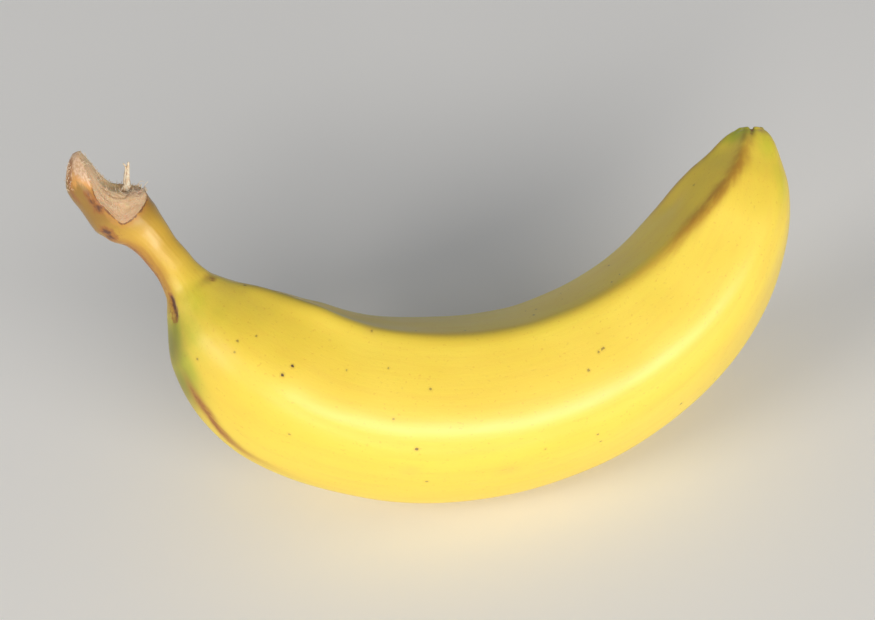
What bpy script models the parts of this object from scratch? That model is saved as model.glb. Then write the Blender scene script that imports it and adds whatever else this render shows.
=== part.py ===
# A banana as picked, lying on its side.
# It is one grown piece: the five-sided body, the stem with its torn end, and the blossom tip.
# Its long way runs along X, from the torn end to the tip, and it rests on a small flat spot at Z = 0.

import math

import bmesh
import bpy
import numpy as np

# How it lies, in degrees and metres
LEAN = 50.0            # the plane of the bend leans up from the floor by this much
PITCH = -6.2           # turn within that plane, which brings the weight over the flat spot
TURN = 9.7             # turn about the upright, which brings the two ends into line with X
FLAT_DEPTH = 0.00065   # how far the rounded underside is pressed flat where it lies
BELLY = (0.070, 0.180)  # it lies on its skin somewhere between these distances along the middle
BELLY_ROWS = 441       # how finely that skin is searched for its lowest part
BELLY_COLUMNS = 720
WELD_GAP = 1e-7        # corners nearer the floor than this are taken to lie on it

# The bend: distance along the middle from the torn end, and the turn there in radians per metre
BEND = (
    (0.000, 0.6),
    (0.012, 4.7),
    (0.024, 7.1),
    (0.040, 11.4),
    (0.056, 16.2),
    (0.075, 15.6),
    (0.106, 11.8),
    (0.142, 13.5),
    (0.178, 16.1),
    (0.211, 18.4),
)
MIDDLE = 0.1115        # the bend runs level here, before the pitch
BEND_REACH = (-0.020, 0.220)  # the middle's line runs on past both ends to these distances
BEND_STEPS = 2400      # steps in which the bend is summed up

# The outline: distance along the middle, mean radius, and how far the section sits inwards of the middle
OUTLINE = (
    (0.0024, 0.0013, -0.0067),
    (0.0034, 0.0027, -0.0065),
    (0.0054, 0.0043, -0.0064),
    (0.0090, 0.0063, -0.0060),
    (0.0140, 0.0071, -0.0043),
    (0.0190, 0.0071, -0.0035),
    (0.0216, 0.0063, -0.0025),
    (0.0246, 0.0051, -0.0011),
    (0.0290, 0.0044, -0.0002),
    (0.0340, 0.0045, 0.0004),
    (0.0380, 0.0053, 0.0004),
    (0.0420, 0.0077, -0.0001),
    (0.0500, 0.0134, -0.0007),
    (0.0600, 0.0176, -0.0007),
    (0.0700, 0.0195, -0.0005),
    (0.1050, 0.0208, 0.0000),
    (0.1420, 0.0197, 0.0000),
    (0.1700, 0.0177, -0.0003),
    (0.1890, 0.0150, -0.0005),
    (0.1990, 0.0116, -0.0009),
    (0.2050, 0.0080, -0.0012),
    (0.2088, 0.0056, -0.0015),
    (0.2104, 0.0042, -0.0017),
    (0.2110, 0.0034, -0.0018),
)
STEM_SWAY = 0.0021     # the stem's end leans sideways by this much
SWAY_END = 0.060

# The five sides: where each one faces, in degrees round the section from the inside of the bend
SIDES = (8.0, 78.0, 144.0, 212.0, 296.0)

# The ridge after each side: crispness of its corner, and height of the fine crest on it
RIDGES = ((10.0, 0.016), (5.0, 0.000), (8.0, 0.010), (8.0, 0.004), (10.0, 0.014))
USUAL_CRISPNESS = 8.0
CREST_WIDTH = 8.0      # degrees
LOBE_WIDTH = 18.0      # degrees
LOBE_SHARE = 0.09      # keeps the mean radius where the lobes rise

# Distance along the middle, and how strongly the section is five-sided, crested, lobed or twisted there
FLATNESS = ((0.000, 0.0), (0.030, 0.20), (0.050, 0.50), (0.070, 0.76), (0.180, 0.84), (0.211, 0.80))
CREST_RISE = ((0.040, 0.2), (0.065, 1.0), (0.211, 1.0))
LOBES = ((0.000, 0.0), (0.188, 0.0), (0.201, 0.030), (0.211, 0.110))
TWIST = (
    (0.040, -19.0),
    (0.060, -11.0),
    (0.080, -4.0),
    (0.105, 0.0),
    (0.140, 1.0),
    (0.165, 2.0),
    (0.180, 6.0),
    (0.196, 18.0),
    (0.211, 25.0),
)

# The blossom end: radius as a part of the rim's, and height over the rim
BLOSSOM_RINGS = ((0.90, 0.0005), (0.76, 0.0007), (0.62, 0.0004), (0.50, -0.0005), (0.25, -0.0008))
BLOSSOM_FLOOR = -0.0009

# The torn face: distance along the middle and distance inwards, down its near edge and its far edge
NEAR_EDGE = (
    (0.0166, 0.0100),
    (0.0178, 0.0036),
    (0.0183, 0.0004),
    (0.0190, -0.0036),
    (0.0166, -0.0056),
    (0.0124, -0.0075),
    (0.0090, -0.0074),
    (0.0038, -0.0077),
    (-0.0040, -0.0073),
)
FAR_EDGE = (
    (0.0165, 0.0100),
    (0.0158, 0.0043),
    (0.0140, 0.0032),
    (0.0129, 0.0004),
    (0.0115, -0.0022),
    (0.0096, -0.0039),
    (0.0068, -0.0048),
    (0.0036, -0.0054),
    (-0.0040, -0.0066),
)
TORN_REACH = 0.0050    # the near and far edges lie this far either side of the middle
TORN_SPREAD = 0.0110   # the cut runs past both edges to this
TORN_DEPTH = 0.0200    # how far the torn-off flesh is cleared away
TORN_SQUARE = 0.0181   # it is cleared away by the heading that the middle has here
TORN_ROWS = 27
TORN_COLUMNS = 27

# Grooves down the torn face: their height, how many waves across, how they wander and how they fade
GROOVE_HEIGHT = 0.00016
GROOVE_WAVES = (3, 5, 8, 12)
GROOVE_WANDER = 2.0
WANDER_TURN = 3.0
FADE = 0.4
FADE_TURN = 7.0
SEED = 4

# Fibres left standing: base, bend and end as distance along, inwards and sideways, then both radii
FIBRES = (
    ((0.0144, -0.0010, -0.0034), (0.0097, 0.0010, -0.0038), (0.0081, 0.0016, -0.0040), 0.00085, 0.00032),
    ((0.0144, -0.0006, -0.0034), (0.0094, 0.0016, -0.0036), (0.0080, 0.0025, -0.0034), 0.00080, 0.00032),
    ((0.0156, 0.0018, -0.0030), (0.0143, 0.0027, -0.0032), (0.0137, 0.0032, -0.0030), 0.00075, 0.00032),
    ((0.0166, 0.0026, -0.0018), (0.0152, 0.0034, -0.0020), (0.0147, 0.0039, -0.0022), 0.00070, 0.00032),
)
FIBRE_SIDES = 6
LEVEL_WAY = (0, 1, 0)  # a way across every fibre, from which its sides are counted

# Points round one section, and rows of points between two distances along the middle
COLUMNS = 45
ROWS = (
    (0.0024, 0.0240, 15),
    (0.0240, 0.0460, 8),
    (0.0460, 0.0700, 8),
    (0.0700, 0.1800, 22),
    (0.1800, 0.2050, 9),
    (0.2050, 0.2110, 7),
)

# Finish
PEEL_COLOUR = (0.87, 0.68, 0.10, 1.0)
PEEL_ROUGHNESS = 0.42


def smooth_through(points, at):
    """A smooth curve through the points that never overshoots them, read at the given distances."""
    x, y = (np.array(column, float) for column in zip(*points))
    step = np.diff(x)
    slope = np.diff(y) / step
    before = slope[:-1]
    after = slope[1:]
    same_way = before * after > 0
    share_before = (2 * step[1:] + step[:-1])[same_way]
    share_after = (step[1:] + 2 * step[:-1])[same_way]
    tangent = np.zeros_like(y)
    tangent[0] = slope[0]
    tangent[-1] = slope[-1]
    inside = np.zeros_like(before)
    inside[same_way] = (share_before + share_after) / (
        share_before / before[same_way] + share_after / after[same_way]
    )
    tangent[1:-1] = inside
    at = np.clip(at, x[0], x[-1])
    cell = np.clip(np.searchsorted(x, at, side="right") - 1, 0, len(step) - 1)
    t = (at - x[cell]) / step[cell]
    return (
        (1 + 2 * t) * (1 - t) ** 2 * y[cell]
        + t * (1 - t) ** 2 * step[cell] * tangent[cell]
        + t * t * (3 - 2 * t) * y[cell + 1]
        + t * t * (t - 1) * step[cell] * tangent[cell + 1]
    )


def middle_at(distance):
    """Heading, place along and place inwards of the fruit's middle, in the plane of its bend."""
    fine = np.linspace(*BEND_REACH, BEND_STEPS)
    turn = smooth_through(BEND, fine)
    step = np.diff(fine)

    def summed(rate):
        return np.concatenate([[0], np.cumsum((rate[1:] + rate[:-1]) / 2 * step)])

    heading = summed(turn)
    heading -= np.interp(MIDDLE, fine, heading) - math.radians(PITCH)
    along = summed(np.cos(heading))
    inward = summed(np.sin(heading))
    along -= np.interp(MIDDLE, fine, along)
    inward -= np.interp(MIDDLE, fine, inward)
    return [np.interp(distance, fine, values) for values in (heading, along, inward)]


def from_middle(distance, inwards, sideways):
    """Points given by distance along the middle, distance inwards of it and sideways, before the lean."""
    heading, along, inward = middle_at(distance)
    sway = STEM_SWAY * np.clip(1 - distance / SWAY_END, 0, None) ** 2
    return np.stack(
        [
            along - np.sin(heading) * inwards,
            inward + np.cos(heading) * inwards,
            sway + sideways,
        ],
        axis=-1,
    )


def section(angle, distance):
    """How far the skin lies from the section's centre, as a part of its mean radius."""
    turned = np.degrees(angle) - smooth_through(TWIST, distance)
    ridges = [(side + following) / 2 for side, following in zip(SIDES, SIDES[1:] + (SIDES[0] + 360,))]
    power = np.interp(turned, ridges, [crispness for crispness, _ in RIDGES], period=360)
    total = 0
    for side in SIDES:
        total = total + np.maximum(np.cos(np.radians(turned - side)), 0) ** power
    corner = (2 * math.cos(math.pi / len(SIDES)) ** USUAL_CRISPNESS) ** (-1 / USUAL_CRISPNESS)
    five_sided = total ** (-1 / power) / ((1 + corner) / 2)
    shape = 1 + smooth_through(FLATNESS, distance) * (five_sided - 1)
    rise = smooth_through(CREST_RISE, distance)
    lobe = smooth_through(LOBES, distance)
    for ridge, (_, height) in zip(ridges, RIDGES):
        gap = (turned - ridge + 180) % 360 - 180
        shape = shape + rise * height * np.exp(-((gap / CREST_WIDTH) ** 2))
        shape = shape + lobe * np.exp(-((gap / LOBE_WIDTH) ** 2)) - lobe * LOBE_SHARE
    return shape


def skin(distance, angle, part=1.0, raised=0.0):
    """Points of the skin; angle 0 is the inside of the bend and a quarter turn is the near side."""
    radius = smooth_through([(d, r) for d, r, _ in OUTLINE], distance)
    offset = smooth_through([(d, o) for d, _, o in OUTLINE], distance)
    reach = radius * section(angle, distance) * part
    return from_middle(distance + raised, offset + reach * np.cos(angle), reach * np.sin(angle))


def leaned(points):
    """Leans the plane of the bend up from the floor, and turns it about the upright."""
    along, inward, sideways = np.moveaxis(points, -1, 0)
    lean = math.radians(LEAN)
    turn = math.radians(TURN)
    y = inward * math.cos(lean) - sideways * math.sin(lean)
    z = inward * math.sin(lean) + sideways * math.cos(lean)
    return np.stack(
        [
            along * math.cos(turn) - y * math.sin(turn),
            along * math.sin(turn) + y * math.cos(turn),
            z,
        ],
        axis=-1,
    )


def resting_point():
    """The centre of the flat spot, on the floor, in the leaned frame."""
    distance = np.linspace(*BELLY, BELLY_ROWS)[:, None]
    angle = np.linspace(0, 2 * math.pi, BELLY_COLUMNS, endpoint=False)[None, :]
    points = leaned(skin(distance, angle)).reshape(-1, 3)
    floor = points[:, 2].min() + FLAT_DEPTH
    pressed = points[points[:, 2] < floor]
    return np.array([pressed[:, 0].mean(), pressed[:, 1].mean(), floor])


REST = resting_point()


def placed(points):
    """Where the points lie when the fruit rests on the floor, with the flat spot at the origin."""
    return leaned(points) - REST


def new_object(name, shape):
    """An object from a bmesh, with its faces turned outwards."""
    bmesh.ops.recalc_face_normals(shape, faces=shape.faces)
    mesh = bpy.data.meshes.new(name)
    shape.to_mesh(mesh)
    shape.free()
    thing = bpy.data.objects.new(name, mesh)
    bpy.context.scene.collection.objects.link(thing)
    return thing


def sheet(shape, points, closed=False):
    """A grid of faces over rows of points. A closed grid joins its last column to its first."""
    rows, columns = points.shape[:2]
    corners = [[shape.verts.new(point) for point in row] for row in points]
    for i in range(rows - 1):
        for j in range(columns if closed else columns - 1):
            k = (j + 1) % columns
            shape.faces.new((corners[i][j], corners[i][k], corners[i + 1][k], corners[i + 1][j]))
    return corners


def fan(shape, ring, centre):
    """Closes a ring of corners with triangles about a centre."""
    tip = shape.verts.new(centre)
    for i, corner in enumerate(ring):
        shape.faces.new((corner, ring[(i + 1) % len(ring)], tip))


def press_flat(shape):
    """Cuts off what lies under the floor and closes the cut with one flat face."""
    everything = list(shape.verts) + list(shape.edges) + list(shape.faces)
    cut = bmesh.ops.bisect_plane(
        shape, geom=everything, plane_co=(0, 0, 0), plane_no=(0, 0, -1), clear_outer=True, dist=WELD_GAP
    )
    rim = [edge for edge in cut["geom_cut"] if isinstance(edge, bmesh.types.BMEdge)]
    bmesh.ops.contextual_create(shape, geom=rim)


def make_fruit():
    """Body, stem and blossom end as one closed skin, pressed flat where it lies."""
    distance = [np.linspace(start, end, count, endpoint=False) for start, end, count in ROWS]
    distance = np.concatenate(distance + [[ROWS[-1][1]]])
    angle = np.linspace(0, 2 * math.pi, COLUMNS, endpoint=False)
    points = skin(distance[:, None], angle[None, :])
    last = np.full(COLUMNS, distance[-1])
    rings = [skin(last, angle, part, raised) for part, raised in BLOSSOM_RINGS]
    shape = bmesh.new()
    corners = sheet(shape, placed(np.concatenate([points, np.stack(rings)])), closed=True)
    floor = skin(last, angle, 0.0, BLOSSOM_FLOOR)[0]
    fan(shape, corners[-1], placed(floor))
    fan(shape, corners[0], placed(skin(distance[:1], angle[:1], 0.0)[0]))
    press_flat(shape)
    return new_object("banana", shape)


def groove_relief(rows, columns):
    """Long shallow grooves that run along the torn face, uneven from one to the next."""
    random = np.random.default_rng(SEED)
    down = np.linspace(0, 1, rows)[:, None]
    across = np.linspace(0, 1, columns)[None, :]
    relief = np.zeros((rows, columns))
    for waves in GROOVE_WAVES:
        phase, drift, fading = random.uniform(0, 2 * math.pi, 3)
        wander = GROOVE_WANDER * np.sin(WANDER_TURN * down + drift)
        strength = 1 - FADE + FADE * np.sin(FADE_TURN * down + fading)
        relief += strength * np.sin(2 * math.pi * waves * across + phase + wander)
    return GROOVE_HEIGHT * relief


def make_torn_off_part():
    """The flesh torn away from the stem's end: a curved rough face, carried away from the stem."""
    near = resampled(NEAR_EDGE, TORN_ROWS)
    far = resampled(FAR_EDGE, TORN_ROWS)
    sideways = np.linspace(TORN_SPREAD, -TORN_SPREAD, TORN_COLUMNS)[None, :, None]
    share = (TORN_REACH - sideways) / (2 * TORN_REACH)
    edge = near[:, None] + (far - near)[:, None] * share
    relief = groove_relief(TORN_ROWS, TORN_COLUMNS)
    away = edge[..., 0] - relief
    inwards = edge[..., 1] + relief
    face = from_middle(away, inwards, np.broadcast_to(sideways[..., 0], away.shape))
    heading = middle_at(TORN_SQUARE)[0]
    outwards = np.array([-math.cos(heading), -math.sin(heading), 0])
    inner = np.array([-math.sin(heading), math.cos(heading), 0])
    lid = face + (outwards + inner) / math.sqrt(2) * TORN_DEPTH
    shape = bmesh.new()
    lower = sheet(shape, placed(face))
    upper = sheet(shape, placed(lid))
    join_rims(shape, rim_of(lower), rim_of(upper))
    return new_object("torn_off", shape)


def resampled(points, count):
    """Points evenly along the line through the given ones, with its corners a little rounded."""
    points = np.array(points)
    length = np.concatenate([[0], np.cumsum(np.linalg.norm(np.diff(points, axis=0), axis=1))])
    at = np.linspace(0, length[-1], count)
    return np.stack([smooth_through(list(zip(length, points[:, i])), at) for i in range(2)], axis=-1)


def rim_of(corners):
    """The corners round the edge of a grid, in order."""
    rows = len(corners)
    columns = len(corners[0])
    rim = [corners[0][j] for j in range(columns)]
    rim += [corners[i][-1] for i in range(1, rows)]
    rim += [corners[-1][j] for j in range(columns - 2, -1, -1)]
    rim += [corners[i][0] for i in range(rows - 2, 0, -1)]
    return rim


def join_rims(shape, lower, upper):
    """Walls between two rims of the same count."""
    count = len(lower)
    for i in range(count):
        k = (i + 1) % count
        shape.faces.new((lower[i], lower[k], upper[k], upper[i]))


def make_fibre(name, path, base_radius, end_radius):
    """A short tapered fibre through three places, rooted in the flesh."""
    places = placed(np.array([from_middle(np.array(d), i, s) for d, i, s in path]))
    ways = np.array([places[1] - places[0], places[2] - places[0], places[2] - places[1]])
    rows = []
    for place, way, radius in zip(places, ways, np.linspace(base_radius, end_radius, len(places))):
        way = way / np.linalg.norm(way)
        first = np.cross(way, LEVEL_WAY)
        first /= np.linalg.norm(first)
        second = np.cross(way, first)
        angle = np.linspace(0, 2 * math.pi, FIBRE_SIDES, endpoint=False)[:, None]
        rows.append(place + radius * (np.cos(angle) * first + np.sin(angle) * second))
    shape = bmesh.new()
    corners = sheet(shape, np.stack(rows), closed=True)
    fan(shape, corners[0], places[0])
    fan(shape, corners[-1], places[-1])
    return new_object(name, shape)


def combine(fruit, tool, operation):
    """A Boolean on the fruit, with the tool left out of the model."""
    tool.hide_render = True
    tool.display_type = "WIRE"
    step = fruit.modifiers.new(tool.name, "BOOLEAN")
    step.operation = operation
    step.solver = "EXACT"
    step.object = tool


def peel():
    """Ripe peel, softly waxy."""
    material = bpy.data.materials.new("peel")
    material.use_nodes = True
    surface = material.node_tree.nodes["Principled BSDF"]
    surface.inputs["Base Color"].default_value = PEEL_COLOUR
    surface.inputs["Roughness"].default_value = PEEL_ROUGHNESS
    surface.inputs["Metallic"].default_value = 0.0
    return material


def main():
    for thing in list(bpy.data.objects):
        bpy.data.objects.remove(thing)
    fruit = make_fruit()
    fruit.data.materials.append(peel())
    combine(fruit, make_torn_off_part(), "DIFFERENCE")
    for number, (base, bend, end, base_radius, end_radius) in enumerate(FIBRES):
        fibre = make_fibre(f"fibre_{number + 1}", (base, bend, end), base_radius, end_radius)
        combine(fruit, fibre, "UNION")
    fruit.data.shade_smooth()


main()
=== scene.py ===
# The look of the banana: a fine skin of the same form, the torn stem's fibres, finish, light and camera

import math

import bmesh
import bpy
import numpy as np
from mathutils import Matrix, Vector, noise
from mathutils.kdtree import KDTree


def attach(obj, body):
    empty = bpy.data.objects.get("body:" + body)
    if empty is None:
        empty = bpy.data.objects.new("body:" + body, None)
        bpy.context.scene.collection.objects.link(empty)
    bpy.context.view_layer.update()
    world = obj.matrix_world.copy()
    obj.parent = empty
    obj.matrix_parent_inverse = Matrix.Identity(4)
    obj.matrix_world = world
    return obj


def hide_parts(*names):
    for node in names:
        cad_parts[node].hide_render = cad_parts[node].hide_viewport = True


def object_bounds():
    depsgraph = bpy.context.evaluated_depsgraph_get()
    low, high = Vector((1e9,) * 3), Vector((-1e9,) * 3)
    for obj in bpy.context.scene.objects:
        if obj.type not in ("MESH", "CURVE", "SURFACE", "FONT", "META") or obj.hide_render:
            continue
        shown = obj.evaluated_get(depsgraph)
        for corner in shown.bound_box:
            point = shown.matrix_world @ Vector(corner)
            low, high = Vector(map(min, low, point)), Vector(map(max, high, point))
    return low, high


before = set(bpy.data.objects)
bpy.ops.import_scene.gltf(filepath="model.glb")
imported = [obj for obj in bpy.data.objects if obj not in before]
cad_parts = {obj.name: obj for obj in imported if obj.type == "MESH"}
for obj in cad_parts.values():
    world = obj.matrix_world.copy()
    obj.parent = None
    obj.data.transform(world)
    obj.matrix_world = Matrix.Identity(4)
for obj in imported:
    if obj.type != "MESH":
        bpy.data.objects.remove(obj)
CAD_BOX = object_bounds()

# Lengths are in millimetres, but in metres in the finishes and for the floor, the lamps and the camera
MM = 0.001

# How it lies, in degrees, how deep its flat spot is pressed, and the stretch where that is looked for
LEAN = 50.0
PITCH = -6.2
TURN = 9.7
FLAT_DEPTH = 0.65
BELLY = (70, 180)
BELLY_ROWS = 441
BELLY_COLUMNS = 720

# The bend: distance along the middle from the torn end, and the turn there in radians per metre
BEND = (
    (0, 0.6), (12, 4.7), (24, 7.1), (40, 11.4), (56, 16.2), (75, 15.6), (106, 11.8), (142, 13.5),
    (178, 16.1), (211, 18.4),
)
MIDDLE = 111.5
BEND_REACH = (-20, 220)
BEND_STEPS = 2400
REFINEMENTS = 3

# The outline: distance along the middle, mean radius, and how far the section sits inwards of the middle
OUTLINE = (
    (2.4, 1.3, -6.7), (3.4, 2.7, -6.5), (5.4, 4.3, -6.4), (9, 6.3, -6), (14, 7.1, -4.3), (19, 7.1, -3.5),
    (21.6, 6.3, -2.5), (24.6, 5.1, -1.1), (29, 4.4, -0.2), (34, 4.5, 0.4), (38, 5.3, 0.4), (42, 7.7, -0.1),
    (50, 13.4, -0.7), (60, 17.6, -0.7), (70, 19.5, -0.5), (105, 20.8, 0), (142, 19.7, 0),
    (170, 17.7, -0.3), (189, 15, -0.5), (199, 11.6, -0.9), (205, 8, -1.2), (208.8, 5.6, -1.5),
    (210.4, 4.2, -1.7), (211, 3.4, -1.8),
)
STEM_SWAY = 2.1
SWAY_END = 60

# The five sides: where each one faces, in degrees round the section from the inside of the bend
SIDES = (8, 78, 144, 212, 296)

# The ridge after each side: crispness of its corner, and height of the fine crest on it
RIDGES = ((10, 0.016), (5, 0.0), (8, 0.01), (8, 0.004), (10, 0.014))
USUAL_CRISPNESS = 8.0
CREST_WIDTH = 8.0
LOBE_WIDTH = 18.0
LOBE_SHARE = 0.09

# Distance along the middle, and how strongly the section is five-sided, crested, lobed or twisted there
FLATNESS = ((0, 0.0), (30, 0.2), (50, 0.5), (70, 0.76), (180, 0.84), (211, 0.8))
CREST_RISE = ((40, 0.2), (65, 1.0), (211, 1.0))
LOBES = ((0, 0.0), (188, 0.0), (201, 0.03), (211, 0.11))
TWIST = ((40, -19), (60, -11), (80, -4), (105, 0), (140, 1), (165, 2), (180, 6), (196, 18), (211, 25))

# The blossom end: radius as a part of the rim's, and height over the rim
BLOSSOM = (
    (0.0, -0.9), (0.25, -0.8), (0.46, -0.5), (0.58, 0.2), (0.72, 0.6), (0.86, 0.5), (0.95, 0.3), (1.0, 0),
)
BLOSSOM_RINGS = 18
BLOSSOM_REACH = 1.2
BLOSSOM_FADE = 1.2

# The notches between its lobes: degrees round, width in degrees, and depth
NOTCHES = ((74, 10, 1.2), (136, 8, 0.5), (203, 9, 0.6), (257, 11, 1), (350, 9, 0.6))

# The torn face: distance along the middle and distance inwards, down its near edge and its far edge
NEAR_EDGE = (
    (17.4, 10), (18.8, 3.6), (19.4, 0.4), (19.8, -3.6), (16.6, -5.6), (12.6, -6.9), (9, -6.9), (3.8, -7.5),
    (-4, -7.3),
)
FAR_EDGE = (
    (16.5, 10), (15.8, 4.3), (14, 3.2), (12.9, 0.4), (11.7, -2.7), (9.9, -4.4), (7.1, -5.3), (3.8, -5.8),
    (-4, -6.6),
)
TORN_REACH = 5
TORN_SPREAD = 11
TORN_DEPTH = 20
TORN_SQUARE = 18.1
TORN_ROWS = 150
TORN_COLUMNS = 130

# Broad grooves down the torn face
GROOVE_HEIGHT = 0.0256
GROOVE_WAVES = (3, 5, 8, 12)
GROOVE_WANDER = 2.0
WANDER_TURN = 3.0
FADE = 0.4
FADE_TURN = 7.0
GROOVE_SEED = 4

# Streaks down the torn face: strength, how much finer they are along and across, and layer of noise
STREAK_HEIGHT = 0.04
STREAK_WIDTH = 0.5
STREAK_LENGTH = 6
STREAKS = ((1.0, 1.0, 1.0, 0.0), (0.5, 1.7, 2.1, 5.0))

# Grain and folds of the torn face
GRAIN_HEIGHT = 0.09
GRAIN_SIZE = 0.45
FOLD_CENTRE = (11.7, -2.4, -3.6)
FOLD_RINGS = (2.1, 3.1, 4.3)
FOLD_HEIGHT = 0.12
FOLD_SOFTNESS = 0.22
FOLD_WANDER = 0.4
FOLD_WANDER_SIZE = 3
FOLD_PATH = (
    (11.5, -5.2, 2.2), (12.5, -4.5, 2.2), (13.7, -4.2, 2.6), (14.4, -3.8, 2.8), (15.1, -2.8, 2.3),
    (15.6, -1.6, 1.6), (15.3, -0.8, 0.4),
)
FOLD_PATH_WIDTH = 0.32
FOLD_PATH_DEPTH = 0.35

# Swells of the torn face, each with its centre, reach and height, and its ragged lobe
SWELLS = (((16, -2, 1.2), (5.5, 5.5, 2.8), 1.2), ((8.6, -5.8, 1.8), (4, 4, 2.6), 0.5))
RAGGED_LOBE = (16.3, 2.6, 0)
RAGGED_REACH = 3.2
RAGGED_HEIGHT = 0.6
RAGGED_SIZE = 1

# Tints of the torn face: name, centre, reach and strength; the basin's is its own yellowish tone, lightened
# as painted light in its shaded hollow
TEAR_TINTS = (("basin_tone_and_painted_light", (12.2, -3, -3), 3, 0.75), ("lobe", (15.5, 1.8, -1), 2.6, 0.65))

# Points round one section, and rows of points between two distances along the middle
COLUMNS = 196
ROWS = ((2.4, 24, 84), (24, 50, 72), (50, 190, 186), (190, 208, 46), (208, 211, 16))
FLAT_SOFTNESS = 0.12

# Small relief of the skin: gentle lumps, and flutes along the stem
LUMP_HEIGHT = 0.028
LUMP_LEAST = 0.15
LUMP_WAVES = 14
LUMP_TURNS = 6
LUMP_LENGTHS = (12, 50)
FLUTE_HEIGHT = 0.006
FLUTE_WAVES = (9, 13, 17, 23, 31)
FLUTE_WANDER = 30
FLUTE_FADE = ((4, 0.0), (10, 0.7), (26, 1.0), (40, 0.8), (56, 0.1), (90, 0.03), (211, 0.05))
RELIEF_SEED = 11

# Bumps and dents: distance along, degrees round, length, width, and height
BUMPS = (
    (22.8, 166, 1.6, 3, 0.6), (20.4, 139, 0.7, 0.8, 0.22), (21.7, 147, 0.6, 0.7, 0.18),
    (40, 36, 1, 3.2, -0.45), (188.5, 3, 6, 5, -0.65), (211.4, 74, 3, 1, -1.3),
    (211.4, 126, 1.6, 1.6, -0.6), (211.2, 42, 1.2, 1.6, 0.3), (211.4, 8, 1.4, 1.6, -0.5),
    (13.6, 117, 2, 1.2, 0.45), (15, 250, 2, 1.4, 0.2), (21.2, 300, 1.2, 1.6, 0.24),
)

# A dry crack at the neck: its line as distance along and degrees round
CRACK = ((38.4, 144), (39.5, 140), (40.8, 136), (42.1, 134), (43.2, 135))

# Relief of the crack, a ridge's crest and a hollow beside it: places, half width and height by distance
RELIEF_LINES = (
    (CRACK, 0.85, ((37.8, 0), (39.5, -0.45), (42.1, -0.45), (43.8, 0))),
    (
        ((46, 25.4), (62, 36.3), (82, 40.5), (116, 41.9), (153, 42.8), (182, 49.3)), 2.4,
        ((44, 0), (52, 0.75), (66, 0.85), (84, 0.4), (110, 0.1), (182, 0)),
    ),
    (
        ((44, 5), (62, 17), (82, 22), (105, 25)), 4.2,
        ((44, 0), (52, -0.6), (70, -0.8), (88, -0.4), (110, 0)),
    ),
)

# Tints along a line: places as distance along and degrees round, half width, and strength by distance
RIDGE_LINES = (
    (((62, 36.3), (82, 40.5), (116, 41.9), (153, 42.8), (167, 46.6), (182, 49.3), (194.5, 57.6),
      (201.6, 64.6), (208, 68.4)), 2.2,
     ((62, 0.05), (120, 0.14), (150, 0.3), (172, 0.52), (190, 0.86), (203, 0.74), (210, 0.3))),
    (((42, 165), (70, 171), (105, 178), (165, 180), (196, 196), (211, 203)), 1.2,
     ((42, 0.3), (60, 0.15), (100, 0.06), (170, 0.1), (192, 0.5), (206, 0.3))),
    (((42, 236), (70, 247), (105, 254), (165, 256), (196, 272), (211, 279)), 1.4,
     ((42, 0.45), (56, 0.5), (70, 0.12), (150, 0.06), (185, 0.35), (206, 0.45))),
    (((42, 313), (70, 325), (105, 332), (165, 334), (196, 350), (211, 357)), 1.6,
     ((42, 0.2), (80, 0.08), (150, 0.15), (185, 0.55), (200, 0.7), (210, 0.3))),
    (((50, 146), (53.9, 150.2), (56.8, 151.5), (59.3, 152.6), (61.9, 156.4), (65.3, 159.8), (69.6, 162.6),
      (78.5, 165), (90, 167)), 1.5,
     ((50, 0.0), (54, 0.55), (57.5, 1.0), (65, 0.9), (72, 0.5), (80, 0.2), (90, 0.0))),
    (((21.5, 152), (28, 147), (34, 146), (40, 150), (44, 156)), 2.4,
     ((21.5, 0.2), (24.5, 0.7), (30, 0.95), (38, 0.8), (44, 0.0))),
    (((38.5, 30), (40.5, 36), (42.5, 42)), 1.8, ((38.2, 0.0), (39.8, 0.45), (40.8, 0.45), (42.6, 0.0))),
)
BROWN_LINES = (
    (((54.5, 150.6), (56.8, 151.8), (59.3, 153.2), (61.9, 157.4), (65, 160.4)), 0.7,
     ((53, 0.0), (56.5, 0.56), (61, 0.64), (68, 0.0))),
    (CRACK, 0.75, ((37.2, 0.0), (38.4, 0.8), (39.8, 1.2), (41.6, 1.1), (43, 0.9), (44.2, 0.0))),
    (((22.5, 162), (28, 159), (33, 163), (37, 160)), 1.1,
     ((22.5, 0.0), (25, 0.46), (28, 0.56), (33, 0.54), (37.5, 0.3), (40, 0.0))),
    (((60, 251), (72, 249), (80, 251)), 0.6, ((60, 0.0), (64, 0.6), (74, 0.5), (80, 0.0))),
)

# Soft patches of tint: distance along, degrees round, length, width and strength
GREEN_PATCHES = (
    (45, 141, 4.4, 2.6, 1.0), (45, 158, 5, 3.2, 0.95), (51.2, 142, 5.2, 3.4, 0.9),
    (51.5, 158, 5.4, 4, 0.8), (47, 118, 6, 4.2, 0.55), (42.5, 92, 5, 4, 0.52), (48, 80, 5, 4, 0.3),
    (47, 220, 6, 5, 0.6), (48, 300, 6, 5, 0.45), (207.5, 114, 4.4, 3.6, 0.62), (200, 126, 6.4, 3, 0.5),
    (211.2, 108, 2, 3, 0.5), (210, 22, 3.2, 4.4, 0.95), (209.2, 50, 2, 2, 0.6), (205, 8, 4, 3.6, 0.3),
    (206, 200, 4, 4, 0.7), (206, 290, 4.4, 4, 0.75),
)
# Painted shade in dark olive: on the neck's shaded side over its own green, and in the cleft at the tip
OLIVE_PAINTED_SHADE_PATCHES = (
    (45.2, 143, 4, 2.8, 0.66), (46.8, 153, 5.8, 5.6, 0.74), (53.2, 159, 6.2, 6.4, 0.66),
    (210, 60, 3.4, 1.4, 0.5), (211.2, 76, 2, 0.8, 0.8),
)
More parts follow.
